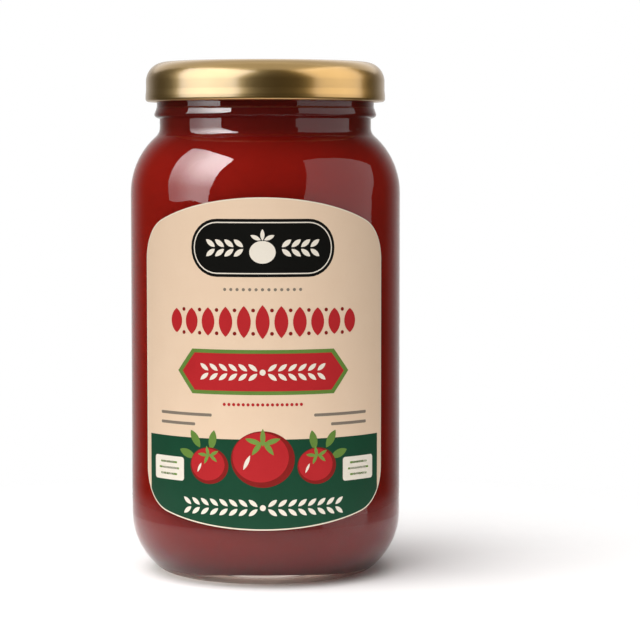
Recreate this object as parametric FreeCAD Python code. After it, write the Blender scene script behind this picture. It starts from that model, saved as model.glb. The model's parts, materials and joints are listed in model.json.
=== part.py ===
import FreeCAD, Part
import math
import os

# A round glass jar of tomato paste, closed by a twist-off metal lid, with a paper label wrapped
# round its front. Sizes are in millimetres and angles in degrees. The jar stands on z = 0 with
# its axis on Z, and the label faces -Y. Every turned piece is one outline in the XZ plane, where
# x is the radius, revolved round Z.

# Glass body, from the foot up
body_diameter = 75.0
panel_height = 89.3  # the straight wall, which carries the label
glass_wall = 2.3
heel_radius = 19.0  # the wide curve below the straight wall
heel_turn = 49.5  # how far the wide curve turns before the foot's curve takes over
foot_radius = 7.3
bearing_width = 3.6  # the flat ring that the jar stands on
bearing_round = 0.8  # the ring's inner edge
push_up = 3.0  # the hollow under the base
push_up_slope = 9.5  # the width of the hollow's sloping edge
push_up_round = 14.0
base_thickness = 3.6  # at the middle of the base
floor_fall = 1.8  # the inner floor is this much lower at the wall than at the middle
inner_heel_radius = 13.0
shoulder_radius = 21.0

# Glass finish, which takes the lid, and the neck below it
finish_diameter = 60.4
rim_outer_round = 1.4
rim_inner_round = 1.2
bead_stand = 0.9  # how far the transfer bead stands out from the finish
bead_height = 3.2
bead_undercut = 0.7
bead_nose = 0.9
neck_inset = 0.8  # how far the neck lies inside the finish
neck_height = 2.5
neck_radius = 3.0  # the hollow curve between the shoulder and the neck

# Thread starts on the finish, each one caught by a lug of the lid
thread_starts = 4
thread_depth = 1.2
thread_height = 2.0
thread_span = 48.0

# Lid
lid_height = 11.0
lid_clearance = 0.2  # from the thread starts to the rolled edge
lid_bead_gap = 1.5  # from the bead to the rolled edge
lid_sheet = 0.25
lid_corner = 2.6
lining_thickness = 1.05  # the sealing ring that is cast into the lid's channel
lining_inset = 0.3  # from the inner edge of the rim to the sealing ring
panel_gap = 0.1  # from the mouth of the glass to the top of the panel's step
panel_step = 1.0  # the step's width
panel_depth = 1.2
panel_round = 0.6
button_diameter = 27.0
button_step = 1.2
button_drop = 0.6  # the vacuum holds the safety button down
button_round = 2.0
curl_diameter = 1.7  # the rolled edge
curl_flare = 0.15  # how far the rolled edge stands out from the skirt
flare_height = 1.6
lug_span = 20.0
lug_bite = 0.65  # how far a lug reaches under its thread start
lug_inset = 0.1  # a lug is this much thinner than the rolled edge, above and below
lug_clearance = 0.15

# Paste
headspace = 7.0  # from the paste to the rim

# Label
label_width = 76.0  # along the glass
label_paper = 0.12
label_top_margin = 0.5
label_bottom_margin = 0.15
label_arch = 80.0  # radius of the arched top edge
label_bow = 118.0  # radius of the bowed bottom edge
label_corner = 12.0

AXIS = FreeCAD.Vector(0, 0, 1)
ORIGIN = FreeCAD.Vector(0, 0, 0)
FRONT = 1.5 * math.pi  # the direction of -Y, as an angle round the axis
TINY = 1e-6

# Radii and levels that follow from the sizes above
body_r = body_diameter / 2
finish_r = finish_diameter / 2
bead_r = finish_r + bead_stand
neck_r = finish_r - neck_inset
mouth_r = neck_r - glass_wall
thread_r = finish_r + thread_depth
lid_r = thread_r + lid_clearance + curl_diameter
heel_step = heel_radius - foot_radius
bearing_r = body_r - heel_radius + heel_step * math.cos(math.radians(heel_turn))
panel_bottom = foot_radius + heel_step * math.sin(math.radians(heel_turn))
panel_top = panel_bottom + panel_height
shoulder_turn = math.acos(1 - (body_r - neck_r) / (shoulder_radius + neck_radius))
neck_bottom = panel_top + (shoulder_radius + neck_radius) * math.sin(shoulder_turn)
bead_bottom = neck_bottom + neck_height
lid_bottom = bead_bottom + bead_height + lid_bead_gap
lid_top = lid_bottom + lid_height
rim_level = lid_top - lid_sheet - lining_thickness
paste_level = rim_level - headspace
floor_level = push_up + base_thickness
curl_top = lid_bottom + curl_diameter
lug_top = curl_top - lug_inset
thread_bottom = lug_top + lug_clearance


def rounded(corners):
    """The edges of an open outline. Each corner is (r, z) or (r, z, radius of its rounding)."""
    places = [FreeCAD.Vector(r, 0, z) for r, z, *_ in corners]
    start = places[0]
    edges = []
    for before, corner, after, (_, _, *radius) in zip(places, places[1:], places[2:], corners[1:]):
        if not radius:
            edges.append(Part.makeLine(start, corner))
            start = corner
            continue
        back = (before - corner).normalize()
        ahead = (after - corner).normalize()
        half_turn = (math.pi - back.getAngle(ahead)) / 2
        reach = radius[0] * math.tan(half_turn)
        bulge = radius[0] * (1 / math.cos(half_turn) - 1)
        arc_start = corner + back * reach
        arc_end = corner + ahead * reach
        middle = corner + (back + ahead).normalize() * bulge
        if start.distanceToPoint(arc_start) > TINY:
            edges.append(Part.makeLine(start, arc_start))
        edges.append(Part.Arc(arc_start, middle, arc_end).toShape())
        start = arc_end
    if start.distanceToPoint(places[-1]) > TINY:
        edges.append(Part.makeLine(start, places[-1]))
    return edges


def turned(corners, angle=360.0):
    """The solid of a closed outline turned round the axis, centred on +X if it is a part turn."""
    wire = Part.Wire(rounded(corners + corners[:1]))
    solid = Part.Face(wire).revolve(ORIGIN, AXIS, angle)
    if angle < 360:
        solid.rotate(ORIGIN, AXIS, -angle / 2)
    return solid


def spaced(shape):
    """Copies of a shape, one at the middle of each thread start."""
    copies = []
    for index in range(thread_starts):
        copy = shape.copy()
        copy.rotate(ORIGIN, AXIS, (index + 0.5) * 360 / thread_starts)
        copies.append(copy)
    return copies


def side_corners(inset):
    """The outline's corners at the shoulder and the neck, this far inside the outer glass."""
    shoulder = shoulder_radius - inset
    hollow = neck_radius + inset
    slant = math.tan(shoulder_turn / 2)
    return [
        (body_r - inset, panel_top + shoulder * slant, shoulder),
        (neck_r - inset, neck_bottom - hollow * slant, hollow),
    ]


def cavity_corners(top):
    """The outline's corners inside the glass, from this level down to the middle of the floor."""
    floor_edge = (body_r - glass_wall, floor_level - floor_fall, inner_heel_radius)
    return [(mouth_r, top)] + side_corners(glass_wall)[::-1] + [floor_edge, (0, floor_level)]


def thread_start():
    """One rib on the finish, rounded at its crest and sunk into the wall at its root."""
    root = (mouth_r + finish_r) / 2
    top = thread_bottom + thread_height
    crest = thread_height / 2
    section = [
        (root, thread_bottom),
        (thread_r, thread_bottom, crest),
        (thread_r, top, crest),
        (root, top),
    ]
    return turned(section, thread_span)


def jar():
    """The glass, with its hollow base, shoulder, transfer bead, thread starts and rounded rim."""
    foot_slant = math.tan(math.radians(90 - heel_turn) / 2)
    heel_slant = math.tan(math.radians(heel_turn) / 2)
    hollow_r = bearing_r - bearing_width
    base = [
        (0, push_up),
        (hollow_r - push_up_slope, push_up, push_up_round),
        (hollow_r, 0, bearing_round),
        (bearing_r + foot_radius * foot_slant, 0, foot_radius),
        (body_r, panel_bottom - heel_radius * heel_slant, heel_radius),
    ]
    finish = [
        (neck_r, bead_bottom),
        (bead_r, bead_bottom + bead_undercut, bead_nose),
        (finish_r, bead_bottom + bead_height),
        (finish_r, rim_level, rim_outer_round),
        (mouth_r, rim_level, rim_inner_round),
    ]
    glass = turned(base + side_corners(0) + finish + cavity_corners(rim_level)[1:])
    return glass.fuse(spaced(thread_start())).removeSplitter()


def paste():
    """The filling, which meets the glass face to face up to its level."""
    return turned(cavity_corners(paste_level) + [(0, paste_level)])


def pressed_metal():
    """The lid's sheet: safety button, panel, channel, skirt and rolled edge."""
    button_r = button_diameter / 2
    channel_r = mouth_r - panel_gap
    skirt_r = lid_r - curl_flare
    panel_level = lid_top - panel_depth
    button_level = panel_level - button_drop
    curl = curl_diameter / 2
    outside = [
        (0, button_level),
        (button_r, button_level, button_round),
        (button_r + button_step, panel_level, button_round),
        (channel_r - panel_step, panel_level, panel_round),
        (channel_r, lid_top, panel_round),
        (skirt_r, lid_top, lid_corner),
        (skirt_r, curl_top + flare_height, flare_height),
        (lid_r, curl_top, flare_height),
        (lid_r, lid_bottom, curl),
        (lid_r - curl_diameter, lid_bottom, curl),
        (lid_r - curl_diameter, curl_top, curl),
        (lid_r - curl, curl_top),
    ]
    section = Part.Wire(rounded(outside)).makeOffset2D(-lid_sheet, 0, True, True)
    return section.revolve(ORIGIN, AXIS, 360)


def sealing_ring():
    """The ring in the channel, flat where it presses on the rim."""
    inner_r = mouth_r + lining_inset
    top = lid_top - lid_sheet / 2
    return turned([(inner_r, rim_level), (finish_r, rim_level), (finish_r, top), (inner_r, top)])


def lug():
    """One stretch of the rolled edge pressed inwards, to hook under a thread start."""
    root = lid_r - curl_diameter / 2
    tip = thread_r - lug_bite
    bottom = lid_bottom + lug_inset
    nose = (lug_top - bottom) / 2
    return turned([(root, bottom), (tip, bottom, nose), (tip, lug_top, nose), (root, lug_top)], lug_span)


def lid():
    """The twist-off lid, with its sealing ring and lugs."""
    return pressed_metal().fuse([sealing_ring()] + spaced(lug())).removeSplitter()


def label_edges(radius):
    """The edges of the label's outline wrapped on a cylinder, in order, as seen from outside."""
    surface = Part.Cylinder()
    surface.Radius = radius
    half_width = label_width / 2
    top = panel_top - label_top_margin
    bottom = panel_bottom + label_bottom_margin
    side = half_width - label_corner
    arch_centre = top - label_arch
    bow_centre = bottom + label_bow
    arch_end = math.acos(side / (label_arch - label_corner))
    bow_end = math.acos(side / (label_bow - label_corner))
    upper = arch_centre + (label_arch - label_corner) * math.sin(arch_end)
    lower = bow_centre - (label_bow - label_corner) * math.sin(bow_end)

    def place(s, z):
        """A place on the cylinder, s along the glass to the right of the label's middle."""
        return FreeCAD.Base.Vector2d(FRONT + s / body_r, z)

    def arc(s, z, size, start, end):
        """An arc round (s, z), which is an ellipse in the cylinder's own coordinates."""
        ellipse = Part.Geom2d.Ellipse2d(place(s, z + size), place(s - size, z), place(s, z))
        turn = math.pi / 2
        return Part.Geom2d.ArcOfEllipse2d(ellipse, start - turn, end - turn).toShape(surface)

    def upright(s, start, end):
        """A straight side."""
        return Part.Geom2d.Line2dSegment(place(s, start), place(s, end)).toShape(surface)

    half = math.pi
    edges = [
        arc(0, bow_centre, label_bow, half + bow_end, 2 * half - bow_end),
        arc(side, lower, label_corner, 2 * half - bow_end, 2 * half),
        upright(half_width, lower, upper),
        arc(side, upper, label_corner, 0, arch_end),
        arc(0, arch_centre, label_arch, arch_end, half - arch_end),
        arc(-side, upper, label_corner, half - arch_end, half),
        upright(-half_width, upper, lower),
        arc(-side, lower, label_corner, half, half + bow_end),
    ]
    return surface, edges


def label():
    """The paper, a thin skin that lies on the straight wall with its arched outline."""
    inner_surface, inner = label_edges(body_r)
    outer_surface, outer = label_edges(body_r + label_paper)
    faces = [Part.Face(inner_surface, Part.Wire(inner)), Part.Face(outer_surface, Part.Wire(outer))]
    faces += [Part.makeRuledSurface(low, high) for low, high in zip(inner, outer)]
    skin = Part.makeSolid(Part.makeShell(faces))
    skin.fix(TINY, TINY, TINY)
    return skin


os.makedirs("parts", exist_ok=True)
for name, piece in (("jar", jar()), ("paste", paste()), ("lid", lid()), ("label", label())):
    piece.exportStep(f"parts/{name}.step")
    print(name, piece.ShapeType, piece.isValid(), round(piece.Volume, 1), len(piece.Faces))
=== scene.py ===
import json
import logging
import math
from dataclasses import dataclass, field
from enum import Enum

import bmesh
import bpy
from mathutils import Matrix, Quaternion, Vector

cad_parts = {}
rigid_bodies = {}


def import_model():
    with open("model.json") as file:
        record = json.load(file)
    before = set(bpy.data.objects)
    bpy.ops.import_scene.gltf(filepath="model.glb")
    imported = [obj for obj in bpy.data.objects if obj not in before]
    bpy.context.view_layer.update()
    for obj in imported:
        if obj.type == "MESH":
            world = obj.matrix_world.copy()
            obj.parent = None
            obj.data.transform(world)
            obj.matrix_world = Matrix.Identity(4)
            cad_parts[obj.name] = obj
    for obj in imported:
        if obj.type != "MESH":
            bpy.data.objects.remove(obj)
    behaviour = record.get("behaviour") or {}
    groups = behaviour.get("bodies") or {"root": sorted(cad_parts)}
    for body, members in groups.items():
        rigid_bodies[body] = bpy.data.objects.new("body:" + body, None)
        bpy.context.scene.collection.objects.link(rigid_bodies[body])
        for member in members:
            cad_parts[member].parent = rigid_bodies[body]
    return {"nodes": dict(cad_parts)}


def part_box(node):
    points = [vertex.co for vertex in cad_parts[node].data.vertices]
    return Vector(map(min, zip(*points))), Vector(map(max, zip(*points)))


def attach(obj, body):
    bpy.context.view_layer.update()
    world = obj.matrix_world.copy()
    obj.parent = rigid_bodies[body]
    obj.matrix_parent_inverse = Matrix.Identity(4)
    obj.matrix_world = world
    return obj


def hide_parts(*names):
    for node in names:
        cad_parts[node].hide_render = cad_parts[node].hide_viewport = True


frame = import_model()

LOG = logging.getLogger("tomato_paste_jar")
MM = 0.001  # sizes are in millimetres, and the scene is in metres
TINY = 1e-6
MERGE = 0.001  # points nearer than this, in millimetres, become one
SHARP = math.radians(35)  # folds steeper than this stay crisp
ARC_STEP = math.radians(4)  # how far each facet of a rounded corner turns
ARC_LEAST = 4  # the fewest facets that a rounded corner has

Colour = tuple[float, float, float, float]
Point = tuple[float, float]
Corner = tuple[float, ...]  # radius, height and, where it is rounded, the rounding
Socket = bpy.types.NodeSocket
Tree = bpy.types.NodeTree
Flat = bmesh.types.BMesh  # a flat shape, along and up the label
Solid = bmesh.types.BMesh


def linear(code: str) -> Colour:
    """Turn an sRGB hex colour into the linear values that shaders use.

    Args:
        code: six hex digits.

    Returns:
        Red, green, blue and a full alpha.
    """
    parts = [int(code[i:i + 2], 16) / 255 for i in (0, 2, 4)]
    values = [c / 12.92 if c <= 0.04045 else ((c + 0.055) / 1.055) ** 2.4 for c in parts]
    return (*values, 1.0)


def add_node(tree: Tree, kind: str, feeds: dict | None = None, **settings: object) -> bpy.types.Node:
    """Add a node, set it up and join what feeds it.

    Args:
        tree: the node tree to add it to.
        kind: the node's type name.
        feeds: for each input, a socket to link from or a plain value.
        settings: the node's own settings.

    Returns:
        The new node.
    """
    node = tree.nodes.new(kind)
    for name, value in settings.items():
        setattr(node, name, value)
    for name, source in (feeds or {}).items():
        if isinstance(source, bpy.types.NodeSocket):
            tree.links.new(source, node.inputs[name])
        else:
            node.inputs[name].default_value = source
    return node


class Slot(Enum):
    """The record's material slots."""

    GLASS = "jar_glass"
    PASTE = "tomato_paste"
    LID = "lid_metal"
    LABEL = "label_paper"


class Finish:
    """A surface finish that makes its own material once."""

    name: str
    rough: tuple[float, float]  # from the pattern's low places to its high ones
    bump: float
    depth_mm: float

    def shade(self, tree: Tree, colour: Socket, sheen: Socket, relief: Socket,
              **extras: float) -> Socket:
        """Join a colour, a varied roughness and a relief into one surface.

        Args:
            tree: the material's node tree.
            colour: the surface's colour.
            sheen: the pattern that its roughness follows.
            relief: the pattern that stands out from it.
            extras: more settings of the surface, with a line for each space in their names.

        Returns:
            The shader.
        """
        rough = add_node(tree, "ShaderNodeMapRange", {
            "Value": sheen, "To Min": self.rough[0], "To Max": self.rough[1]})
        bump = add_node(tree, "ShaderNodeBump", {
            "Height": relief, "Strength": self.bump, "Distance": self.depth_mm * MM})
        return add_node(tree, "ShaderNodeBsdfPrincipled", {
            "Base Color": colour, "Roughness": rough.outputs["Result"], "Normal": bump.outputs["Normal"],
            **{name.replace("_", " "): value for name, value in extras.items()}}).outputs["BSDF"]

    def surface(self, tree: Tree) -> Socket:
        """Build the finish.

        Args:
            tree: the material's empty node tree.

        Returns:
            The finished shader.
        """
        raise NotImplementedError

    def material(self) -> bpy.types.Material:
        """Make the material, or find it where it is made already.

        Returns:
            The finish as a node material.
        """
        made = bpy.data.materials.get(self.name)
        if made:
            return made
        made = bpy.data.materials.new(self.name)
        made.use_nodes = True
        made.node_tree.nodes.clear()
        shader = self.surface(made.node_tree)
        add_node(made.node_tree, "ShaderNodeOutputMaterial", {"Surface": shader})
        LOG.info("finish: %s", self.name)
        return made


# Container glass is blown in an iron mould. It is clear, with a slow ripple that bends its highlights
# a little. The ring that it stands on is knurled, which blurs what shows through it. The foot is
# tinted a darker brown, which is painted shade of the shadowed paste and floor seen through it.
@dataclass(frozen=True)
class JarGlass(Finish):
    """Clear container glass.

    Levels are in millimetres above the foot.
    """

    name: str = "clear container glass"
    tint: str = "FCFEFD"
    shade: str = "F4F8F5"
    # painted shade: the darker brown that the foot is tinted
    foot: str = "AE9182"
    ripple_mm: float = 14.0
    depth_mm: float = 1.0
    bump: float = 0.05
    ior: float = 1.52
    haze: float = 0.012
    knurl: float = 0.5
    knurl_level: float = 1.0
    clear_level: float = 3.4
    heel_level: float = 6.5

    def surface(self, tree: Tree) -> Socket:
        """Build clear glass that lets the lamps through to what it holds.

        Args:
            tree: the material's empty node tree.

        Returns:
            The finished shader.
        """
        place = add_node(tree, "ShaderNodeTexCoord").outputs["Object"]
        level = add_node(tree, "ShaderNodeSeparateXYZ", {"Vector": place}).outputs["Z"]
        ripple = add_node(tree, "ShaderNodeTexNoise", {
            "Vector": place, "Scale": 1 / (self.ripple_mm * MM), "Detail": 1.0}).outputs["Fac"]
        haze = add_node(tree, "ShaderNodeMapRange", {"Value": ripple, "To Max": self.haze})
        knurl = add_node(tree, "ShaderNodeMapRange", {
            "Value": level, "From Min": self.knurl_level * MM, "From Max": self.clear_level * MM,
            "To Min": self.knurl, "To Max": 0.0}, interpolation_type="SMOOTHSTEP")
        rough = add_node(tree, "ShaderNodeMath", {
            0: haze.outputs["Result"], 1: knurl.outputs["Result"]}, operation="MAXIMUM")
        tint = add_node(tree, "ShaderNodeMix", {
            "Factor": ripple, 6: linear(self.tint), 7: linear(self.shade)}, data_type="RGBA")
        # painted shade: the glass is tinted darker brown towards its foot
        foot = add_node(tree, "ShaderNodeMapRange", {
            "Value": level, "From Min": self.clear_level * MM, "From Max": self.heel_level * MM,
            "To Min": 1.0, "To Max": 0.0}, interpolation_type="SMOOTHSTEP")
        colour = add_node(tree, "ShaderNodeMix", {
            "Factor": foot.outputs["Result"], 6: tint.outputs[2], 7: linear(self.foot)}, data_type="RGBA")
        bump = add_node(tree, "ShaderNodeBump", {
            "Height": ripple, "Strength": self.bump, "Distance": self.depth_mm * MM})
        glass = add_node(tree, "ShaderNodeBsdfPrincipled", {
            "Base Color": colour.outputs[2], "Roughness": rough.outputs[0],
            "Transmission Weight": 1.0, "IOR": self.ior, "Normal": bump.outputs["Normal"]})
        clear = add_node(tree, "ShaderNodeBsdfTransparent", {"Color": linear(self.shade)})
        path = add_node(tree, "ShaderNodeLightPath")
        both = add_node(tree, "ShaderNodeMixShader", {
            "Fac": path.outputs["Is Shadow Ray"], 1: glass.outputs["BSDF"], 2: clear.outputs["BSDF"]})
        return both.outputs["Shader"]


# Tomatoes are milled, boiled down and filled hot, which gives a dense, matt red with fine pulp in it.
# Just under the lid the paste is painted browner and darker: painted shade where the lid shadows it.
@dataclass(frozen=True)
class TomatoPaste(Finish):
    """Thick tomato paste with fine pulp.

    Levels are in millimetres above the foot.
    """

    name: str = "thick tomato paste"
    body: str = "8C1106"
    pulp: str = "7E0C05"
    # painted shade: the darker brown that the paste takes on just under the lid
    under_lid_shade: str = "620B06"
    pulp_mm: float = 1.6
    cloud_mm: float = 16.0
    cloud_share: float = 0.5
    rough: tuple[float, float] = (0.45, 0.6)
    bump: float = 0.15
    depth_mm: float = 0.3
    gleam: float = 0.05
    under_lid_shade_from: float = 112.0
    under_lid_shade_to: float = 126.0

    def surface(self, tree: Tree) -> Socket:
        """Build deep red with fine pulp, soft clouds and a top painted darker and browner as shade under the
        lid.

        Args:
            tree: the material's empty node tree.

        Returns:
            The finished shader.
        """
        place = add_node(tree, "ShaderNodeTexCoord").outputs["Object"]
        level = add_node(tree, "ShaderNodeSeparateXYZ", {"Vector": place}).outputs["Z"]
        pulp = add_node(tree, "ShaderNodeTexNoise", {
            "Vector": place, "Scale": 1 / (self.pulp_mm * MM), "Detail": 3.0}).outputs["Fac"]
        cloud = add_node(tree, "ShaderNodeTexNoise", {
            "Vector": place, "Scale": 1 / (self.cloud_mm * MM), "Detail": 1.0}).outputs["Fac"]
        blend = add_node(tree, "ShaderNodeMix", {
            "Factor": self.cloud_share, 2: pulp, 3: cloud}, data_type="FLOAT")
        unshaded_paste = add_node(tree, "ShaderNodeMix", {
            "Factor": blend.outputs[0], 6: linear(self.body), 7: linear(self.pulp)}, data_type="RGBA")
        # painted shade: the paste darkens towards its top, where the lid shadows it
        rise = add_node(tree, "ShaderNodeMapRange", {
            "Value": level, "From Min": self.under_lid_shade_from * MM, "From Max": self.under_lid_shade_to * MM},
            interpolation_type="SMOOTHSTEP")
        colour = add_node(tree, "ShaderNodeMix", {
            "Factor": rise.outputs["Result"], 6: unshaded_paste.outputs[2], 7: linear(self.under_lid_shade)},
            data_type="RGBA")
        return self.shade(tree, colour.outputs[2], pulp, pulp, Specular_IOR_Level=self.gleam)


# Tinplate is rolled out with a gold lacquer, baked and pressed. It is a satin warm metal under a
# clear gloss, with the faint orange peel that the lacquer sets to.
@dataclass(frozen=True)
class GoldLacquer(Finish):
    """Tinplate under a baked gold lacquer."""

    name: str = "gold lacquered tinplate"
    light: str = "E0B86E"
    deep: str = "D3AA5E"
    cloud_mm: float = 9.0
    peel_mm: float = 1.1
    rough: tuple[float, float] = (0.27, 0.34)
    bump: float = 0.08
    depth_mm: float = 0.05
    coat_rough: float = 0.18
    coat_ior: float = 1.8

    def surface(self, tree: Tree) -> Socket:
        """Build a satin gold metal under a clear coat.

        Args:
            tree: the material's empty node tree.

        Returns:
            The finished shader.
        """
        place = add_node(tree, "ShaderNodeTexCoord").outputs["Object"]
        cloud = add_node(tree, "ShaderNodeTexNoise", {
            "Vector": place, "Scale": 1 / (self.cloud_mm * MM), "Detail": 2.0}).outputs["Fac"]
        peel = add_node(tree, "ShaderNodeTexNoise", {
            "Vector": place, "Scale": 1 / (self.peel_mm * MM), "Detail": 1.0}).outputs["Fac"]
        colour = add_node(tree, "ShaderNodeMix", {
            "Factor": cloud, 6: linear(self.light), 7: linear(self.deep)}, data_type="RGBA")
        return self.shade(tree, colour.outputs[2], cloud, peel, Metallic=1.0, Coat_Weight=1.0,
                          Coat_Roughness=self.coat_rough, Coat_IOR=self.coat_ior)


# Sealing compound is poured into the lid as a liquid and cured. It is a soft, dull, off-white rubber.
@dataclass(frozen=True)
class SealingCompound(Finish):
    """Cured sealing compound."""

    name: str = "off-white sealing compound"
    light: str = "E9E6DE"
    deep: str = "DCD8CE"
    grain_mm: float = 1.5
    rough: tuple[float, float] = (0.5, 0.65)
    bump: float = 0.2
    depth_mm: float = 0.1

    def surface(self, tree: Tree) -> Socket:
        """Build a dull, faintly mottled off-white.

        Args:
            tree: the material's empty node tree.

        Returns:
            The finished shader.
        """
        place = add_node(tree, "ShaderNodeTexCoord").outputs["Object"]
        grain = add_node(tree, "ShaderNodeTexNoise", {
            "Vector": place, "Scale": 1 / (self.grain_mm * MM), "Detail": 2.0}).outputs["Fac"]
        colour = add_node(tree, "ShaderNodeMix", {
            "Factor": grain, 6: linear(self.light), 7: linear(self.deep)}, data_type="RGBA")
        return self.shade(tree, colour.outputs[2], grain, grain)


# Label paper is coated, offset printed and varnished. Its colours lie flat and a little uneven over
# fine fibres, with a low sheen. Real fibres are finer, but these are as coarse as they need to show.
@dataclass(frozen=True)
class Paper(Finish):
    """Label paper, bare or under one printed colour."""

    name: str = "bare label paper"
    light: str = "F4E6D2"
    deep: str = "EBDAC2"
    gloss: float = 0.5
    spread: float = 0.06
    cloud_mm: float = 7.0
    fibre_mm: float = 0.5
    fibre_share: float = 0.4
    bump: float = 0.12
    depth_mm: float = 0.05
    sheen: float = 0.3

    @property
    def rough(self) -> tuple[float, float]:
        """Return the roughness to each side of the gloss."""
        return self.gloss - self.spread, self.gloss + self.spread

    def surface(self, tree: Tree) -> Socket:
        """Build a flat colour over paper fibres.

        Args:
            tree: the material's empty node tree.

        Returns:
            The finished shader.
        """
        place = add_node(tree, "ShaderNodeTexCoord").outputs["Object"]
        cloud = add_node(tree, "ShaderNodeTexNoise", {
            "Vector": place, "Scale": 1 / (self.cloud_mm * MM), "Detail": 2.0}).outputs["Fac"]
        fibre = add_node(tree, "ShaderNodeTexNoise", {
            "Vector": place, "Scale": 1 / (self.fibre_mm * MM), "Detail": 3.0}).outputs["Fac"]
        blend = add_node(tree, "ShaderNodeMix", {
            "Factor": self.fibre_share, 2: cloud, 3: fibre}, data_type="FLOAT")
        colour = add_node(tree, "ShaderNodeMix", {
            "Factor": blend.outputs[0], 6: linear(self.light), 7: linear(self.deep)}, data_type="RGBA")
        return self.shade(tree, colour.outputs[2], fibre, fibre, Specular_IOR_Level=self.sheen)


# The studio's floor is a sheet of matt white card. It fades out away from the jar, so that it runs
# on into the white surroundings.
@dataclass(frozen=True)
class WhiteCard(Finish):
    """Matt white card, with the reach of its fade in metres."""

    name: str = "matt white card"
    light: str = "F7F5F4"
    deep: str = "F4F2F1"
    grain_mm: float = 17.0
    rough: tuple[float, float] = (0.8, 0.9)
    bump: float = 0.02
    depth_mm: float = 1.0
    gleam: float = 0.1
    near: float = 0.06
    far: float = 0.2

    def surface(self, tree: Tree) -> Socket:
        """Build matt white that fades out away from the jar.

        Args:
            tree: the material's empty node tree.

        Returns:
            The finished shader.
        """
        place = add_node(tree, "ShaderNodeTexCoord").outputs["Object"]
        grain = add_node(tree, "ShaderNodeTexNoise", {
            "Vector": place, "Scale": 1 / (self.grain_mm * MM)}).outputs["Fac"]
        colour = add_node(tree, "ShaderNodeMix", {
            "Factor": grain, 6: linear(self.light), 7: linear(self.deep)}, data_type="RGBA")
        card = self.shade(tree, colour.outputs[2], grain, grain, Specular_IOR_Level=self.gleam)
        reach = add_node(tree, "ShaderNodeVectorMath", {0: place}, operation="LENGTH")
        fade = add_node(tree, "ShaderNodeMapRange", {
            "Value": reach.outputs["Value"], "From Min": self.near, "From Max": self.far},
            interpolation_type="SMOOTHSTEP")
        clear = add_node(tree, "ShaderNodeBsdfTransparent")
        both = add_node(tree, "ShaderNodeMixShader", {
            "Fac": fade.outputs["Result"], 1: card, 2: clear.outputs["BSDF"]})
        return both.outputs["Shader"]


def everything(bm: Solid) -> list:
    """Return all verts, edges and faces of a mesh being made."""
    return [*bm.verts, *bm.edges, *bm.faces]


def add_piece(bm: Solid, name: str, finish: Finish,
              stands_for: tuple[str, ...] = ()) -> bpy.types.Object:
    """Turn a finished mesh into a piece that rides with the jar.

    Args:
        bm: the mesh, which is freed.
        name: the piece's plain name.
        finish: its finish.
        stands_for: the CAD nodes that it replaces.

    Returns:
        The new object.
    """
    for face in bm.faces:
        face.smooth = True
    mesh = bpy.data.meshes.new(name)
    bm.to_mesh(mesh)
    bm.free()
    mesh.set_sharp_from_angle(angle=SHARP)
    mesh.materials.append(finish.material())
    piece = bpy.data.objects.new(name, mesh)
    bpy.context.scene.collection.objects.link(piece)
    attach(piece, "root")
    if stands_for:
        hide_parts(*stands_for)
    LOG.info("piece: %s, %d faces", name, len(mesh.polygons))
    return piece


def round_corner(before: Corner, here: Corner, after: Corner) -> list[Point]:
    """Round one corner of an outline with an arc.

    Args:
        before: the corner before this one.
        here: the corner to round, which stays sharp if it states no rounding.
        after: the corner after it.

    Returns:
        The points along the arc.
    """
    if len(here) < 3:
        return [tuple(here)]
    point, radius = Vector(here[:2]), here[2]
    back = (Vector(before[:2]) - point).normalized()
    ahead = (Vector(after[:2]) - point).normalized()
    half = back.angle(ahead) / 2
    centre = point + (back + ahead).normalized() * (radius / math.sin(half))
    start = point + back * (radius / math.tan(half)) - centre
    sweep = start.angle_signed(point + ahead * (radius / math.tan(half)) - centre)
    steps = max(ARC_LEAST, math.ceil(abs(sweep) / ARC_STEP))
    return [tuple(centre + Matrix.Rotation(-sweep * i / steps, 2) @ start) for i in range(steps + 1)]


def rounded(corners: list[Corner]) -> list[Point]:
    """Round the corners of an open outline.

    Args:
        corners: the outline's corners, in order.

    Returns:
        The outline's points.
    """
    points: list[Point] = [tuple(corners[0][:2])]
    for before, here, after in zip(corners, corners[1:], corners[2:]):
        points += round_corner(before, here, after)
    return points + [tuple(corners[-1][:2])]


def spun(points: list[Point], steps: int) -> Solid:
    """Spin an outline in millimetres round the jar's axis.

    Args:
        points: the outline, as radius and height.
        steps: how many facets go round.

    Returns:
        The turned mesh, in metres.
    """
    bm = bmesh.new()
    tip = bmesh.ops.create_vert(bm, co=(points[0][0], 0, points[0][1]))["vert"]
    for radius, height in points[1:]:
        tip = bmesh.ops.extrude_vert_indiv(bm, verts=tip)["verts"]
        tip[0].co = (radius, 0, height)
    bmesh.ops.spin(bm, geom=everything(bm), axis=(0, 0, 1), cent=(0, 0, 0),
                   angle=math.tau, steps=steps, use_merge=True)
    bmesh.ops.remove_doubles(bm, verts=bm.verts, dist=MERGE)
    bmesh.ops.scale(bm, vec=(MM, MM, MM), verts=bm.verts)
    bmesh.ops.recalc_face_normals(bm, faces=bm.faces)
    return bm


@dataclass
class Jar:
    """The glass jar, whose CAD solid stays and gets its finish."""

    node: str = "jar"
    finish: Finish = JarGlass()

    def dress(self) -> None:
        """Give the solid its finish."""
        for slot in frame["nodes"][self.node].material_slots:
            slot.material = self.finish.material()
        LOG.info("dressed: %s", self.node)


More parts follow.
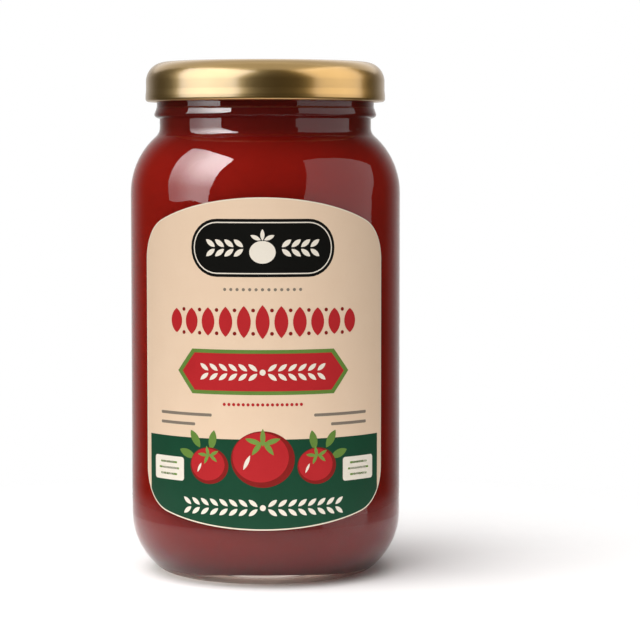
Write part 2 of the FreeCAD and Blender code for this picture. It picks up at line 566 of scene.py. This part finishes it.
@dataclass
class Filling:
    """The paste, which reaches just into the glass wall.

    Sizes are in millimetres and follow the jar's inside.
    """

    bite: float = 0.12
    mouth: float = 27.1
    body: float = 35.2
    edge: float = 1.2
    neck_level: float = 121.086
    neck_round: float = 5.3
    shoulder_level: float = 113.923
    shoulder_round: float = 18.7
    heel_level: float = 4.8
    heel_round: float = 13.0
    floor: float = 6.6
    steps: int = 160

    def build(self) -> None:
        """Spin the outline of the paste and dress it."""
        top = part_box("paste")[1].z / MM
        neck, body = self.mouth + self.bite, self.body + self.bite
        outline = rounded([
            (0.0, top), (neck, top, self.edge), (neck, self.neck_level, self.neck_round),
            (body, self.shoulder_level, self.shoulder_round),
            (body, self.heel_level, self.heel_round), (0.0, self.floor)])
        add_piece(spun(outline, self.steps), "paste_filling", TomatoPaste(), ("paste",))


@dataclass
class Lid:
    """The twist-off lid: pressed sheet with a rolled edge, four lugs and a sealing ring.

    Sizes are in millimetres.
    """

    sheet: float = 0.25
    corner: float = 5.4
    curl: float = 1.7
    flare: float = 0.15
    flare_height: float = 1.6
    channel: float = 27.0
    step: float = 1.0
    depth: float = 1.2
    soft: float = 0.6
    button: float = 13.5
    button_step: float = 1.2
    button_drop: float = 0.6
    button_round: float = 2.0
    ring_in: float = 27.4
    ring_out: float = 30.2
    ring_slope: float = 2.0
    ring_drop: float = 0.65
    rim_level: float = 140.374
    lug_tip: float = 30.75
    lug_inset: float = 0.1
    lug_span: float = 20.0
    lug_steps: int = 8
    lugs: int = 4
    steps: int = 128

    def __post_init__(self) -> None:
        """Take the lid's reach and levels from the CAD node."""
        low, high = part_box("lid")
        self.radius = high.x / MM
        self.low, self.high = low.z / MM, high.z / MM

    def section(self) -> list[Point]:
        """Work out the sheet's outer outline, from the button's middle to the rolled edge.

        Returns:
            Points as radius and height.
        """
        panel_level = self.high - self.depth
        button_level = panel_level - self.button_drop
        wall, roll, half = self.radius - self.flare, self.low + self.curl, self.curl / 2
        inner = self.radius - self.curl
        return rounded([
            (0, button_level), (self.button, button_level, self.button_round),
            (self.button + self.button_step, panel_level, self.button_round),
            (self.channel - self.step, panel_level, self.soft), (self.channel, self.high, self.soft),
            (wall, self.high, self.corner), (wall, roll + self.flare_height, self.flare_height),
            (self.radius, roll, self.flare_height), (self.radius, self.low, half),
            (inner, self.low, half), (inner, roll, half), (self.radius - half, roll)])

    def shell(self) -> None:
        """Spin the sheet's outline and give it the sheet's thickness."""
        bm = spun(self.section(), self.steps)
        bmesh.ops.solidify(bm, geom=list(bm.faces), thickness=self.sheet * MM)
        add_piece(bm, "lid_shell", GoldLacquer(), ("lid",))

    def ring(self) -> None:
        """Spin the sealing ring, which fills the channel from the sheet down to the rim."""
        top = self.high - self.sheet / 2
        bm = spun([
            (self.ring_in, self.rim_level), (self.ring_out, self.rim_level),
            (self.ring_out, top - self.ring_drop), (self.ring_out - self.ring_slope, top),
            (self.ring_in, top), (self.ring_in, self.rim_level)], self.steps)
        add_piece(bm, "lid_sealing_ring", SealingCompound())

    def hooks(self) -> None:
        """Spin each lug through its short span."""
        root, low = self.radius - self.curl / 2, self.low + self.lug_inset
        top = self.low + self.curl - self.lug_inset
        nose = (top - low) / 2
        points = rounded([(root, low), (self.lug_tip, low, nose), (self.lug_tip, top, nose), (root, top)])
        bm = bmesh.new()
        for number in range(self.lugs):
            start = math.radians((number + 0.5) * 360 / self.lugs - self.lug_span / 2)
            tip = bmesh.ops.create_vert(bm, co=(points[0][0], 0, points[0][1]))["vert"]
            outline = list(tip)
            for radius, height in points[1:]:
                tip = bmesh.ops.extrude_vert_indiv(bm, verts=tip)["verts"]
                tip[0].co = (radius, 0, height)
                outline += tip
            face = bmesh.ops.contextual_create(bm, geom=outline)["faces"]
            bmesh.ops.rotate(bm, cent=(0, 0, 0), matrix=Matrix.Rotation(start, 3, "Z"), verts=outline)
            bmesh.ops.spin(bm, geom=face, axis=(0, 0, 1), cent=(0, 0, 0),
                           angle=math.radians(self.lug_span), steps=self.lug_steps)
        bmesh.ops.remove_doubles(bm, verts=bm.verts, dist=MERGE)
        bmesh.ops.recalc_face_normals(bm, faces=bm.faces)
        bmesh.ops.scale(bm, vec=(MM, MM, MM), verts=bm.verts)
        add_piece(bm, "lid_lugs", GoldLacquer())

    def build(self) -> None:
        """Make the sheet, the sealing ring and the lugs."""
        self.shell()
        self.ring()
        self.hooks()


def trim(bm: Flat, point: Point, angle: float) -> None:
    """Cut off all of a flat shape beyond a line.

    Args:
        bm: the flat shape.
        point: a point on the line.
        angle: the direction that is cut away, in radians.
    """
    bmesh.ops.bisect_plane(bm, geom=everything(bm), dist=TINY, plane_co=(*point, 0),
                           plane_no=(math.cos(angle), math.sin(angle), 0), clear_outer=True)


def trim_arc(bm: Flat, centre: Point, radius: float, start: float, end: float, steps: int) -> None:
    """Trim a flat shape to an arc by cutting along its tangents.

    Args:
        bm: the flat shape.
        centre: the arc's centre.
        radius: its radius.
        start: its first direction, in degrees.
        end: its last direction, in degrees.
        steps: how many tangents to cut along.
    """
    for i in range(steps + 1):
        angle = math.radians(start + (end - start) * i / steps)
        trim(bm, (centre[0] + radius * math.cos(angle), centre[1] + radius * math.sin(angle)), angle)


def disc(radius: float, flat: float = 1.0) -> Flat:
    """Make a flat disc.

    Args:
        radius: its radius.
        flat: how much of its height it keeps.

    Returns:
        The flat shape.
    """
    bm = bmesh.new()
    bmesh.ops.create_circle(bm, cap_ends=True, segments=48, radius=radius)
    bmesh.ops.scale(bm, vec=(1, flat, 1), verts=bm.verts)
    return bm


def sheet(width: float, height: float) -> Flat:
    """Make a flat rectangle.

    Args:
        width: its size along the label.
        height: its size up the label.

    Returns:
        The flat shape.
    """
    bm = bmesh.new()
    bmesh.ops.create_grid(bm, x_segments=1, y_segments=1, size=0.5)
    bmesh.ops.scale(bm, vec=(width, height, 1), verts=bm.verts)
    return bm


def panel(width: float, height: float, corner: float) -> Flat:
    """Make a flat rectangle with round corners.

    Args:
        width: its size along the label.
        height: its size up the label.
        corner: the radius of its corners.

    Returns:
        The flat shape.
    """
    bm = sheet(width, height)
    bmesh.ops.bevel(bm, geom=bm.verts, offset=corner, segments=8, profile=0.5,
                    affect="VERTICES", material=-1)
    return bm


def bar(length: float, height: float, lean: float) -> Flat:
    """Make a flat bar with pointed ends.

    Args:
        length: its length, point to point.
        height: its height.
        lean: how blunt its points are, in degrees.

    Returns:
        The flat shape.
    """
    bm = sheet(length, height)
    for end in (0, 180):
        for turn in (end - lean, end + lean):
            trim(bm, (length / 2 * math.cos(math.radians(end)), 0), math.radians(turn))
    return bm


def hollow(bm: Flat, rim: float) -> Flat:
    """Leave only a rim of a flat shape.

    Args:
        bm: the flat shape.
        rim: the rim's width.

    Returns:
        The same shape, hollowed out.
    """
    bmesh.ops.inset_region(bm, faces=bm.faces, thickness=rim, use_boundary=True, use_even_offset=True)
    inner = max(bm.faces, key=lambda face: face.calc_area())
    bmesh.ops.delete(bm, geom=[inner], context="FACES_ONLY")
    return bm


def leaf(length: float, width: float) -> Flat:
    """Make a flat leaf with a point at each end.

    Args:
        length: its length, along the label.
        width: its width.

    Returns:
        The flat shape.
    """
    bm = sheet(2 * length, 2 * length)
    radius = (length ** 2 + width ** 2) / (4 * width)
    half = math.degrees(math.asin(min(1.0, length / 2 / radius)))
    trim_arc(bm, (0, width / 2 - radius), radius, 90 - half, 90 + half, 10)
    trim_arc(bm, (0, radius - width / 2), radius, 270 - half, 270 + half, 10)
    return bm


@dataclass
class Ink:
    """One printed colour: thin shapes laid on the label at one level."""

    name: str
    finish: Finish
    level: int
    shapes: Flat = field(default_factory=bmesh.new)

    def stamp(self, shape: Flat, at: Point = (0, 0), turn: float = 0.0) -> None:
        """Add a flat shape to this colour.

        Args:
            shape: the shape, which is freed.
            at: where its middle goes, along and up the label.
            turn: how far it turns, in degrees.
        """
        place = Matrix.Translation((*at, 0)) @ Matrix.Rotation(math.radians(turn), 4, "Z")
        bmesh.ops.transform(shape, matrix=place, verts=shape.verts)
        carrier = bpy.data.meshes.new("shape")
        shape.to_mesh(carrier)
        shape.free()
        self.shapes.from_mesh(carrier)
        bpy.data.meshes.remove(carrier)


@dataclass
class Label:
    """The front label: paper wrapped on the jar, with its print in thin layers of ink.

    Sizes are in millimetres. Flat places are given along the label from its
    middle, and up from the jar's foot.
    """

    arch: float = 80.0
    bow: float = 118.0
    corner: float = 12.0
    skin: float = 0.12  # how far the CAD node stands off the glass
    paper: float = 0.04
    lift: float = 0.01  # from one layer of ink to the next
    ink: float = 0.004
    pitch: float = 1.0  # the width of the facets that it is wrapped in
    rim: float = 0.35  # the bare edge round the print
    corner_steps: int = 16
    edge_steps: int = 24

    def __post_init__(self) -> None:
        """Take the label's place from the CAD node."""
        low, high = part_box("label")
        self.outer = -low.y / MM
        self.low, self.high = low.z / MM, high.z / MM
        self.base = self.outer - self.skin
        self.half = self.base * math.asin(high.x / MM / self.outer)

    def outline(self, inset: float) -> Flat:
        """Make the flat outline of the label.

        Args:
            inset: how far inside the paper's edge it runs.

        Returns:
            The flat shape.
        """
        bm = sheet(2 * self.half, self.high - self.low)
        bmesh.ops.translate(bm, vec=(0, (self.high + self.low) / 2, 0), verts=bm.verts)
        side = self.half - self.corner
        radius = self.corner - inset
        top = (self.high - self.arch, self.arch, 1)
        foot = (self.low + self.bow, self.bow, -1)
        for middle, reach, way in (top, foot):
            rise = math.sqrt((reach - self.corner) ** 2 - side ** 2)
            lean = math.degrees(math.atan2(rise, side))
            level = middle + way * rise
            trim_arc(bm, (side, level), radius, 0, way * lean, self.corner_steps)
            trim_arc(bm, (-side, level), radius, 180, 180 - way * lean, self.corner_steps)
            trim_arc(bm, (0, middle), reach - inset, way * lean, way * (180 - lean), self.edge_steps)
        return bm

    def lay(self, shape: Flat, name: str, finish: Finish, radius: float, thick: float,
            stands_for: tuple[str, ...] = ()) -> None:
        """Wrap a flat shape on the jar and give it its thickness.

        Args:
            shape: the flat shape.
            name: the piece's plain name.
            finish: its finish.
            radius: its outer face's radius.
            thick: its thickness.
            stands_for: the CAD nodes that it replaces.
        """
        edge = int(self.half / self.pitch) + 1
        for i in range(-edge, edge + 1):
            bmesh.ops.bisect_plane(shape, geom=everything(shape), dist=TINY,
                                   plane_co=(i * self.pitch, 0, 0), plane_no=(1, 0, 0))
        bmesh.ops.solidify(shape, geom=list(shape.faces), thickness=thick)
        far = max(vert.co.z for vert in shape.verts)
        for vert in shape.verts:
            along, up, depth = vert.co
            reach, turn = (radius + depth - far) * MM, along / self.outer
            vert.co = (reach * math.sin(turn), -reach * math.cos(turn), up * MM)
        add_piece(shape, name, finish, stands_for)

    def build(self) -> None:
        """Make the paper and lay down each colour of the print."""
        face = self.base + self.paper
        self.lay(self.outline(0), "label_paper", Paper(), face, self.paper, ("label",))
        for ink in Artwork(self).inks():
            self.lay(ink.shapes, ink.name, ink.finish, face + self.lift * ink.level, self.ink)


@dataclass
class Artwork:
    """The label's print: plain fields of colour and garden motifs, even about the middle.

    Sizes are in millimetres, as width and height, and levels are above the jar's foot.
    """

    label: Label
    varnish: float = 0.42
    crest_level: float = 91.6
    crest_size: Point = (40.0, 15.4)
    crest_corner: float = 7.6
    crest_inset: float = 0.8
    crest_line: float = 0.3
    spray_gap: float = 1.25
    dots_level: float = 80.6
    dot: float = 0.42
    frieze_level: float = 72.0
    frieze_leaf: Point = (9.0, 3.7)
    frieze_fall: float = 0.5
    frieze_pitch: float = 5.0
    frieze_gap: float = 3.1
    ribbon_level: float = 58.6
    ribbon_size: Point = (46.0, 10.0)
    ribbon_edge: Point = (3.0, 2.0)
    ribbon_lean: float = 38
    beads_level: float = 50.0
    rules_level: float = 45.7
    rules_gap: float = 2.6
    rule: Point = (0.8, 0.3)
    band_top: float = 40.7
    band_margin: float = 2.0
    fruit_level: float = 35.4
    fruit_radius: float = 8.6
    side_fruit: Point = (14.9, 33.4)
    side_radius: float = 5.6
    squat: float = 0.88
    notes: Point = (28.2, 32.0)
    note_size: Point = (11.0, 6.4)
    garland_level: float = 22.4

    def __post_init__(self) -> None:
        """Set out the colours, from the lowest layer up."""
        self.cream = Ink("label_cream_ground", Paper("cream printed paper", "EED3B7", "E8CAAC"), 1)
        self.green = self.colour("label_green_band", "bottle green ink", "144A32", "0F3F29", 2)
        self.dark = self.colour("label_dark_ink", "near black ink", "141412", "0E0E0D", 2)
        self.grey = Ink("label_grey_rules", Paper("warm grey ink", "8B7F70", "7C7163"), 2)
        self.leafy = self.colour("label_leaf_green", "leaf green ink", "6F9142", "587A30", 3)
        self.deep = self.colour("label_deep_red", "deep red ink", "8E1B17", "7D1512", 4)
        self.red = self.colour("label_red", "tomato red ink", "C0262B", "B01F24", 5)
        self.pale = Ink("label_pale_ink", Paper("pale ink", "F3EBDD", "EADFCD"), 6)
        self.stems = self.colour("label_fruit_leaves", "leaf green overprint", "7FA04A", "66893A", 6)

    def colour(self, name: str, finish: str, light: str, deep: str, level: int) -> Ink:
        """Mix a varnished ink.

        Args:
            name: the piece's plain name.
            finish: the ink's name.
            light: its lighter colour.
            deep: its deeper colour.
            level: which layer it lies in.

        Returns:
            The ink.
        """
        return Ink(name, Paper(finish, light, deep, self.varnish), level)

    def inks(self) -> list[Ink]:
        """Draw everything.

        Returns:
            The colours, from the lowest layer up.
        """
        self.cream.stamp(self.label.outline(self.label.rim))
        self.band()
        self.crest((0, self.crest_level))
        self.dots(self.dots_level, 13, 1.7, self.grey)
        self.frieze((0, self.frieze_level))
        self.ribbon((0, self.ribbon_level))
        self.dots(self.beads_level, 17, 1.3, self.red)
        self.rules()
        self.harvest()
        self.garland((0, self.garland_level), 8)
        return [self.cream, self.green, self.dark, self.grey, self.leafy, self.deep, self.red,
                self.pale, self.stems]

    def band(self) -> None:
        """Lay the green field over the label's foot."""
        ground = self.label.outline(self.label.rim)
        side = self.label.half - self.band_margin
        trim(ground, (0, self.band_top), math.pi / 2)
        trim(ground, (side, 0), 0)
        trim(ground, (-side, 0), math.pi)
        self.green.stamp(ground)

    def sprays(self, ink: Ink, at: Point, first: float, pitch: float, pairs: int, size: Point,
               lean: float = 38) -> None:
        """Lay a leafy spray out to each side of a place.

        Args:
            ink: the leaves' colour.
            at: the place between the sprays.
            first: how far off the first pair of leaves is.
            pitch: the distance between two pairs.
            pairs: how many pairs each spray has.
            size: a leaf's length and width.
            lean: how far the leaves lean out, in degrees.
        """
        for side in (-1, 1):
            for i in range(pairs):
                for way in (-1, 1):
                    spot = (at[0] + side * (first + pitch * i), at[1] + self.spray_gap * way)
                    ink.stamp(leaf(*size), spot, side * way * lean)

    def crest(self, at: Point) -> None:
        """Lay a dark capsule with a fine pale edge, a fruit and two sprays.

        Args:
            at: its middle.
        """
        width, height = self.crest_size
        inset, corner = self.crest_inset, self.crest_corner
        edge = panel(width - 2 * inset, height - 2 * inset, corner - inset)
        self.dark.stamp(panel(width, height, corner), at)
        self.pale.stamp(hollow(edge, self.crest_line), at)
        self.pale.stamp(disc(3.5, 0.86), (at[0], at[1] - 1.1))
        for turn in (25, 90, 155):
            angle = math.radians(turn)
            spot = (at[0] + 2.0 * math.cos(angle), at[1] + 2.2 + 1.3 * math.sin(angle))
            self.pale.stamp(leaf(3.0, 1.1), spot, turn)
        self.sprays(self.pale, at, 6.4, 2.6, 4, (3.2, 1.3))

    def dots(self, level: float, count: int, pitch: float, ink: Ink) -> None:
        """Lay an even row of small dots.

        Args:
            level: its height.
            count: how many dots it has.
            pitch: the distance between two dots.
            ink: their colour.
        """
        for i in range(count):
            ink.stamp(disc(self.dot), (pitch * (i - (count - 1) / 2), level))

    def frieze(self, at: Point) -> None:
        """Lay a row of tall red leaves with small rounds between them.

        Args:
            at: its middle.
        """
        length, width = self.frieze_leaf
        for i in range(-5, 6):
            tall = leaf(length - self.frieze_fall * abs(i), width)
            self.red.stamp(tall, (at[0] + self.frieze_pitch * i, at[1]), 90)
        for i in range(-5, 5):
            for side in (-1, 1):
                spot = (at[0] + self.frieze_pitch * (i + 0.5), at[1] + self.frieze_gap * side)
                self.deep.stamp(disc(0.5), spot)

    def ribbon(self, at: Point) -> None:
        """Lay the pointed red bar with its green edge and a pale garland.

        Args:
            at: its middle.
        """
        (width, height), (along, up) = self.ribbon_size, self.ribbon_edge
        self.leafy.stamp(bar(width + along, height + up, self.ribbon_lean), at)
        self.red.stamp(bar(width, height, self.ribbon_lean), at)
        self.garland(at, 6)

    def garland(self, at: Point, pairs: int) -> None:
        """Lay two pale sprays that run out from a dot.

        Args:
            at: the dot's place.
            pairs: how many pairs of leaves each spray has.
        """
        self.pale.stamp(disc(0.8), at)
        self.sprays(self.pale, at, 2.6, 2.7, pairs, (3.0, 1.15))

    def rules(self) -> None:
        """Lay the fine lines over the band and the two small pale panels on it."""
        along, up = self.notes
        for side in (-1, 1):
            for length, middle, way in ((17.0, 22.5, 0.5), (12.0, 25.0, -0.5)):
                spot = (side * middle, self.rules_level + self.rules_gap * way)
                self.grey.stamp(panel(length, *self.rule), spot)
            self.pale.stamp(panel(*self.note_size, 0.8), (side * along, up))
            for i in (-1, 0, 1):
                self.stems.stamp(panel(7.6 - 1.4 * abs(i), 0.55, 0.2), (side * along, up + 1.6 * i))

    def tomato(self, at: Point, radius: float, lean: float) -> None:
        """Lay one tomato: shaded side, lit side, glint and leaves.

        Args:
            at: its middle.
            radius: half of its width.
            lean: how far its leaves are turned, in degrees.
        """
        self.deep.stamp(disc(radius, self.squat), at)
        lit = (at[0] - radius * 0.07, at[1] + radius * 0.06)
        self.red.stamp(disc(radius * 0.88, self.squat), lit)
        self.pale.stamp(leaf(radius * 0.5, radius * 0.12), (at[0] - radius * 0.5, at[1] - radius * 0.1), 65)
        for turn in range(0, 360, 72):
            angle = math.radians(turn + lean)
            spot = (at[0] + 0.3 * radius * math.cos(angle), at[1] + radius * (0.5 + 0.18 * math.sin(angle)))
            self.stems.stamp(leaf(radius * 0.55, radius * 0.16), spot, turn + lean)

    def harvest(self) -> None:
        """Lay three tomatoes, with leaves behind the outer two."""
        self.tomato((0.0, self.fruit_level), self.fruit_radius, 18)
        along, up = self.side_fruit
        for side in (-1, 1):
            self.tomato((side * along, up), self.side_radius, 30)
            for turn, reach in ((20, 7.0), (58, 7.6), (100, 6.4)):
                angle = math.radians(turn)
                spot = (side * (along + reach * math.cos(angle)), up + 0.6 + reach * math.sin(angle))
                self.leafy.stamp(leaf(5.4, 2.2), spot, turn if side > 0 else 180 - turn)


class Reach(Enum):
    """What a softbox is flagged to light, by how the pieces' names begin."""

    GLASS = "jar"
    PASTE = "paste"
    METAL = "lid"
    PAPER = "label"
    FLOOR = "floor"


@dataclass(frozen=True)
class Softbox:
    """A softbox that looks at the jar.

    Args:
        name: its plain name.
        azimuth: degrees round from the camera, positive to its right.
        height: degrees above the floor.
        size: width and height, for each metre that it hangs away.
        strength: the brightness of its face, where 1 is paper white.
        reach: what it lights.
        shine: whether it shows only in gloss, or lights only matt surfaces.
        roll: degrees that it leans by.
        foot: how much of its brightness is left at its foot.
        side: how much is left at the side away from the camera, for one on the left.
        tone: its colour.
        fade: where on its face the two fades start and end, as parts of its size.
    """

    name: str
    azimuth: float
    height: float
    size: Point
    strength: float
    reach: Reach
    shine: bool = False
    roll: float = 0.0
    foot: float = 1.0
    side: float = 1.0
    tone: str = "FFFFFF"
    fade: Point = (0.1, 0.75)

    def glow(self, tree: Tree) -> Socket:
        """Build the light's face, which fades to its foot and its side.

        Args:
            tree: the light's empty node tree.

        Returns:
            The light's shader.
        """
        place = add_node(tree, "ShaderNodeNewGeometry").outputs["Parametric"]
        split = add_node(tree, "ShaderNodeSeparateXYZ", {"Vector": place})
        fades = [add_node(tree, "ShaderNodeMapRange", {
            "Value": split.outputs[axis], "From Min": self.fade[0], "From Max": self.fade[1],
            "To Min": left},
            interpolation_type="SMOOTHSTEP") for axis, left in (("X", self.side), ("Y", self.foot))]
        level = add_node(tree, "ShaderNodeMath", {
            i: fade.outputs["Result"] for i, fade in enumerate(fades)}, operation="MULTIPLY")
        return add_node(tree, "ShaderNodeEmission", {"Strength": level.outputs[0]}).outputs["Emission"]

    def hang(self, distance: float, aim: float) -> None:
        """Hang the softbox.

        Args:
            distance: how far from the jar it hangs, in metres.
            aim: the level that it looks at, in metres.
        """
        light = bpy.data.lights.new(self.name, "AREA")
        light.shape = "RECTANGLE"
        light.size, light.size_y = (side * distance for side in self.size)
        light.energy = self.strength * math.pi * light.size * light.size_y
        light.color = linear(self.tone)[:3]
        light.use_nodes = True
        light.node_tree.nodes.clear()
        add_node(light.node_tree, "ShaderNodeOutputLight", {"Surface": self.glow(light.node_tree)})
        lamp = bpy.data.objects.new(self.name, light)
        bpy.context.scene.collection.objects.link(lamp)
        turn, lift = math.radians(self.azimuth), math.radians(self.height)
        away = Vector((math.sin(turn) * math.cos(lift), -math.cos(turn) * math.cos(lift), math.sin(lift)))
        lamp.location = Vector((0, 0, aim)) + away * distance
        facing = away.to_track_quat("Z", "Y") @ Quaternion((0, 0, 1), math.radians(self.roll))
        lamp.rotation_euler = facing.to_euler()
        lamp.visible_glossy = self.shine
        lamp.visible_diffuse = not self.shine
        lamp.visible_transmission = not self.shine
        lit = bpy.data.collections.new(self.name)
        for thing in bpy.data.objects:
            if thing.type == "MESH" and thing.name.startswith(self.reach.value):
                lit.objects.link(thing)
        lamp.light_linking.receiver_collection = lit
        LOG.info("softbox: %s", self.name)


@dataclass
class Studio:
    """The floor, lamps, white surroundings and camera.

    Lengths are in metres.
    """

    softboxes: tuple[Softbox, ...] = (
        Softbox("high key on the paste", -57, 58, (1.2, 1.2), 1.95, Reach.PASTE),
        Softbox("low fill on the paste", 80, 25, (1.0, 1.0), 0.12, Reach.PASTE),
        Softbox("top light on the floor", 0, 88, (1.3, 1.3), 0.6, Reach.FLOOR),
        Softbox("key on the floor", -48, 66, (0.9, 0.9), 5.5, Reach.FLOOR),
        Softbox("key on the paper", -28, 32, (1.3, 1.1), 2.25, Reach.PAPER),
        Softbox("fill on the paper", 62, 30, (1.2, 1.1), 0.52, Reach.PAPER),
        Softbox("key shine in the glass", -67, 28, (0.82, 1.05), 14.5, Reach.GLASS, True, foot=0.3, side=0.4),
        Softbox("fill shine in the glass", 71, 14, (1.32, 1.2), 1.0, Reach.GLASS, True, roll=-20),
        Softbox("key shine on the lid", -56, 28, (1.3, 1.1), 2.8, Reach.METAL, True, tone="D4DFFF"),
        Softbox("fill shine on the lid", 77, 28, (1.15, 1.1), 1.25, Reach.METAL, True, tone="FFF6EC"),
        Softbox("top shine on the lid", 0, 80, (1.6, 0.9), 0.45, Reach.METAL, True),
        Softbox("back shine on the lid", 180, 50, (1.8, 1.1), 0.5, Reach.METAL, True),
    )
    aim: float = 0.07
    near_hang: float = 1.0
    hang_step: float = 0.02  # softboxes at one distance would hide each other
    floor_size: float = 1.0
    turn: Point = (0.5, 1.0)  # how far behind the jar the gloss turns from one colour to the next
    before: str = "3C3627"
    behind: str = "DDDAD7"
    around: str = "898989"
    lens: float = 136.3
    sensor: float = 36.0
    stand: tuple[float, float, float] = (0.0152, -0.677, 0.1187)
    tilt: float = 4.125

    def floor(self) -> None:
        """Lay the pale floor."""
        bm = bmesh.new()
        bmesh.ops.create_grid(bm, x_segments=8, y_segments=8, size=self.floor_size)
        mesh = bpy.data.meshes.new("floor")
        bm.to_mesh(mesh)
        bm.free()
        mesh.materials.append(WhiteCard().material())
        floor = bpy.data.objects.new("floor", mesh)
        bpy.context.scene.collection.objects.link(floor)

    def surroundings(self) -> None:
        """Set white surroundings for the eye, and dim warm ones in front for gloss."""
        world = bpy.data.worlds.new("white surroundings")
        bpy.context.scene.world = world
        world.use_nodes = True
        tree = world.node_tree
        tree.nodes.clear()
        path = add_node(tree, "ShaderNodeLightPath")
        place = add_node(tree, "ShaderNodeTexCoord").outputs["Generated"]
        split = add_node(tree, "ShaderNodeSeparateXYZ", {"Vector": place})
        back = add_node(tree, "ShaderNodeMapRange", {
            "Value": split.outputs["Y"], "From Min": self.turn[0], "From Max": self.turn[1]})
        swell = add_node(tree, "ShaderNodeMath", {0: back.outputs["Result"], 1: 2.0}, operation="POWER")
        gloss = add_node(tree, "ShaderNodeMix", {
            "Factor": swell.outputs[0], 6: linear(self.before), 7: linear(self.behind)}, data_type="RGBA")
        matt = add_node(tree, "ShaderNodeMix", {
            "Factor": path.outputs["Is Diffuse Ray"], 6: gloss.outputs[2], 7: linear(self.around)},
            data_type="RGBA")
        seen = add_node(tree, "ShaderNodeMath", {
            0: path.outputs["Is Camera Ray"], 1: path.outputs["Is Transmission Ray"]}, operation="MAXIMUM")
        colour = add_node(tree, "ShaderNodeMix", {
            "Factor": seen.outputs[0], 6: matt.outputs[2], 7: linear("FFFFFF")}, data_type="RGBA")
        ground = add_node(tree, "ShaderNodeBackground", {"Color": colour.outputs[2]})
        add_node(tree, "ShaderNodeOutputWorld", {"Surface": ground.outputs["Background"]})

    def camera(self) -> None:
        """Set the camera level with the shoulder, looking slightly down."""
        lens = bpy.data.cameras.new("camera")
        lens.lens, lens.sensor_width = self.lens, self.sensor
        view = bpy.data.objects.new("camera", lens)
        bpy.context.scene.collection.objects.link(view)
        view.location = self.stand
        view.rotation_euler = (math.radians(90 - self.tilt), 0, 0)
        bpy.context.scene.camera = view
        bpy.context.scene.view_settings.view_transform = "Standard"

    def build(self) -> None:
        """Set up the whole studio."""
        self.floor()
        for number, softbox in enumerate(self.softboxes):
            softbox.hang(self.near_hang + self.hang_step * number, self.aim)
        self.surroundings()
        self.camera()


def main() -> None:
    """Dress the jar, make the other pieces and set up the studio."""
    logging.basicConfig(level=logging.INFO, format="%(message)s")
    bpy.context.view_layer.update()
    Jar().dress()
    Filling().build()
    Lid().build()
    Label().build()
    Studio().build()


if __name__ == "__main__":
    main()
